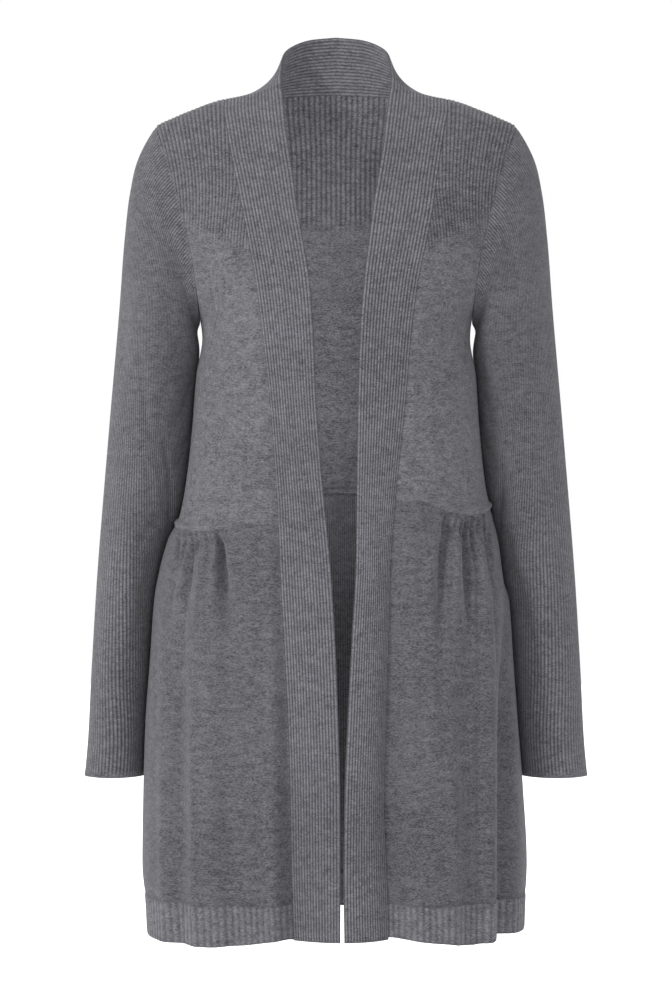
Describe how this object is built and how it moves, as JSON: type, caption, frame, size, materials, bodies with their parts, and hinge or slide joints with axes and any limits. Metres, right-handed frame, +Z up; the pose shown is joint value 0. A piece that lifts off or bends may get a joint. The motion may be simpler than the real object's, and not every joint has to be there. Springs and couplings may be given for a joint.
{
  "type": "cardigan",
  "caption": "Long open-front ribbed cardigan, worn and hollow, with a ribbed band that runs on as a stand collar, long sleeves and a gathered waist seam.",
  "frame": {"origin": "the middle of the neck opening, midway between the two points where the collar's seam crosses the shoulder seams, where the wearer holds it up", "axes": "+Z up, -Y to the front of the garment, +X to the wearer's left"},
  "size_m": [0.4868, 0.2578, 0.8759],
  "materials": {
    "rib_knit": "matt heathered knit",
    "plain_knit": "matt heathered knit",
    "sleeve_knit": "matt heathered knit"
  },
  "bodies": {
    "root": {"front_right": "plain_knit", "front_left": "plain_knit", "back": "plain_knit", "skirt_front_right": "plain_knit", "skirt_front_left": "plain_knit", "skirt_back": "rib_knit", "hem_right": "rib_knit", "hem_left": "rib_knit", "hem_back": "rib_knit", "front_band": "rib_knit", "sleeve_right": "sleeve_knit", "sleeve_left": "sleeve_knit"}
  },
  "joints": []
}
